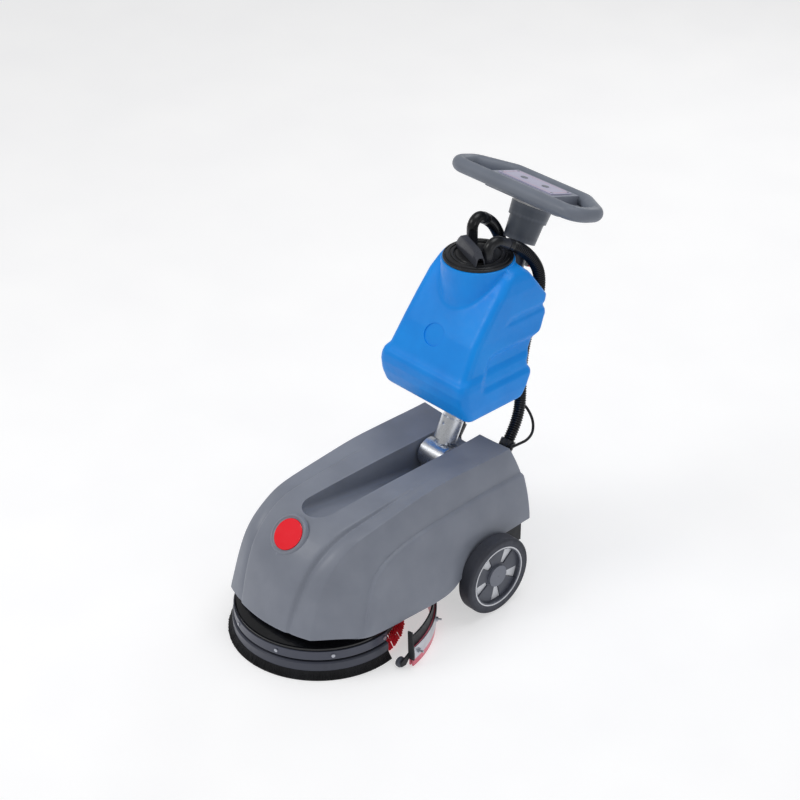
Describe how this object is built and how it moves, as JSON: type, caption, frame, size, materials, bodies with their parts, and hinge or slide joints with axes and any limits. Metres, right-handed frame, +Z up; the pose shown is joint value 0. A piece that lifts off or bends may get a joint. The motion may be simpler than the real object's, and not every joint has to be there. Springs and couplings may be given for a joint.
{
  "type": "walk-behind floor scrubber",
  "caption": "Walk-behind floor scrubber with a round brush under a grey shell, rear squeegee, side wheels, and a leaning pole that carries a blue tank, ribbed hoses and a ring handle.",
  "frame": {"origin": "on the floor, under the middle of the machine's overall length and width", "axes": "+Z up, +Y towards the operator, brush at the -Y end, +X to the machine's left as the operator sees it from behind"},
  "size_m": [0.5678, 0.997, 0.963],
  "materials": {
    "body_grey": "satin",
    "handle_grey": "satin",
    "neck_grey": "satin",
    "tank_blue": "satin gloss",
    "black_plastic": "satin",
    "deck_black": "matte",
    "hose_black": "satin",
    "cable_black": "satin",
    "badge_red": "gloss",
    "knob_red": "gloss",
    "black_bristle": "fibrous",
    "button_grey": "satin",
    "red_bristle": "fibrous",
    "blade_pink": "satin",
    "strip_steel": "brushed",
    "band_steel": "brushed",
    "frame_steel": "powder coat",
    "shaft_steel": "turned",
    "chrome": "polished",
    "alloy": "cast",
    "motor_black": "semi-gloss",
    "battery_black": "matte",
    "tyre": "matte",
    "wheel_grey": "satin",
    "wheel_silver": "satin",
    "panel_white": "satin"
  },
  "bodies": {
    "chassis": {"body_shell": "body_grey", "front_badge": "badge_red", "chassis_tray": "frame_steel", "axle": "shaft_steel", "brush_deck": "deck_black", "skirt_band": "band_steel", "skirt_channel": "black_plastic", "skirt_bristles": "black_bristle", "band_screws": "shaft_steel", "brush_motor": "motor_black", "batteries": "battery_black", "battery_strap": "frame_steel", "vacuum_motor": "motor_black", "controller_box": "alloy", "pivot_fork": "frame_steel", "pivot_pin": "chrome", "hose_inlets": "black_plastic", "cable_gland": "black_plastic"},
    "wheel_right": {"tyre_right": "tyre", "rim_right": "wheel_grey", "wheel_trim_right": "wheel_silver", "hub_cap_right": "wheel_grey", "wheel_bearings_right": "shaft_steel"},
    "wheel_left": {"tyre_left": "tyre", "rim_left": "wheel_grey", "wheel_trim_left": "wheel_silver", "hub_cap_left": "wheel_grey", "wheel_bearings_left": "shaft_steel"},
    "brush": {"drive_shaft": "shaft_steel", "driver_plate": "black_plastic", "brush_block": "black_plastic", "brush_bristles": "red_bristle"},
    "fan": {"fan_impeller": "alloy"},
    "squeegee": {"squeegee_frame": "frame_steel", "squeegee_front_blade": "blade_pink", "squeegee_rear_blade": "blade_pink", "squeegee_clamp_strip": "strip_steel", "squeegee_wing_nuts": "black_plastic"},
    "roller_right": {"squeegee_roller_right": "black_plastic"},
    "roller_left": {"squeegee_roller_left": "black_plastic"},
    "pole": {"pole_knuckle": "chrome", "lower_tube": "chrome", "tube_clamp": "deck_black", "tank_bracket": "frame_steel", "tank_shell": "tank_blue", "tank_lid": "black_plastic", "lid_elbows": "black_plastic", "hose_right": "hose_black", "hose_left": "hose_black", "control_cable": "cable_black"},
    "knob": {"clamp_knob": "knob_red"},
    "mast": {"upper_tube": "chrome", "neck_housing": "neck_grey", "handle_ring": "handle_grey", "console_base": "handle_grey", "console_top": "deck_black", "panel_plate": "panel_white", "panel_screws": "knob_red"},
    "brush_switch": {"brush_button": "button_grey"},
    "suction_switch": {"suction_button": "button_grey"}
  },
  "joints": [
    {"name": "wheel_right_spin", "type": "hinge", "parent": "chassis", "child": "wheel_right", "pos_m": [0.238, 0.06851, 0.1], "axis": [1, 0, 0], "continuous": true},
    {"name": "wheel_left_spin", "type": "hinge", "parent": "chassis", "child": "wheel_left", "pos_m": [-0.238, 0.06851, 0.1], "axis": [1, 0, 0], "continuous": true},
    {"name": "brush_spin", "type": "hinge", "parent": "chassis", "child": "brush", "pos_m": [0, -0.27749, 0.06], "axis": [0, 0, 1], "continuous": true},
    {"name": "fan_spin", "type": "hinge", "parent": "chassis", "child": "fan", "pos_m": [0.1, 0.14451, 0.17], "axis": [0, 0, 1], "continuous": true},
    {"name": "squeegee_lift", "type": "slide", "parent": "chassis", "child": "squeegee", "axis": [0, 0, 1], "range_m": [0, 0.018]},
    {"name": "roller_right_spin", "type": "hinge", "parent": "squeegee", "child": "roller_right", "pos_m": [0.252, -0.25149, 0.013], "axis": [1, 0, 0], "continuous": true},
    {"name": "roller_left_spin", "type": "hinge", "parent": "squeegee", "child": "roller_left", "pos_m": [-0.252, -0.25149, 0.013], "axis": [1, 0, 0], "continuous": true},
    {"name": "pole_tilt", "type": "hinge", "parent": "chassis", "child": "pole", "pos_m": [0, 0.11451, 0.303], "axis": [-1, 0, 0], "range_deg": [-27.7, 30], "deforming": ["hose_right", "hose_left", "control_cable"]},
    {"name": "mast_slide", "type": "slide", "parent": "pole", "child": "mast", "axis": [0, 0.4648, 0.8854], "range_m": [-0.02, 0.08]},
    {"name": "clamp_knob_turn", "type": "hinge", "parent": "pole", "child": "knob", "pos_m": [0, 0.35297, 0.75721], "axis": [0, 0.8854, -0.4648], "range_deg": [0, 360]},
    {"name": "brush_switch_press", "type": "slide", "parent": "mast", "child": "brush_switch", "axis": [0, -0.2924, -0.9563], "range_m": [0, 0.0025], "stiffness_N_per_m": 400},
    {"name": "suction_switch_press", "type": "slide", "parent": "mast", "child": "suction_switch", "axis": [0, -0.2924, -0.9563], "range_m": [0, 0.0025], "stiffness_N_per_m": 400}
  ]
}
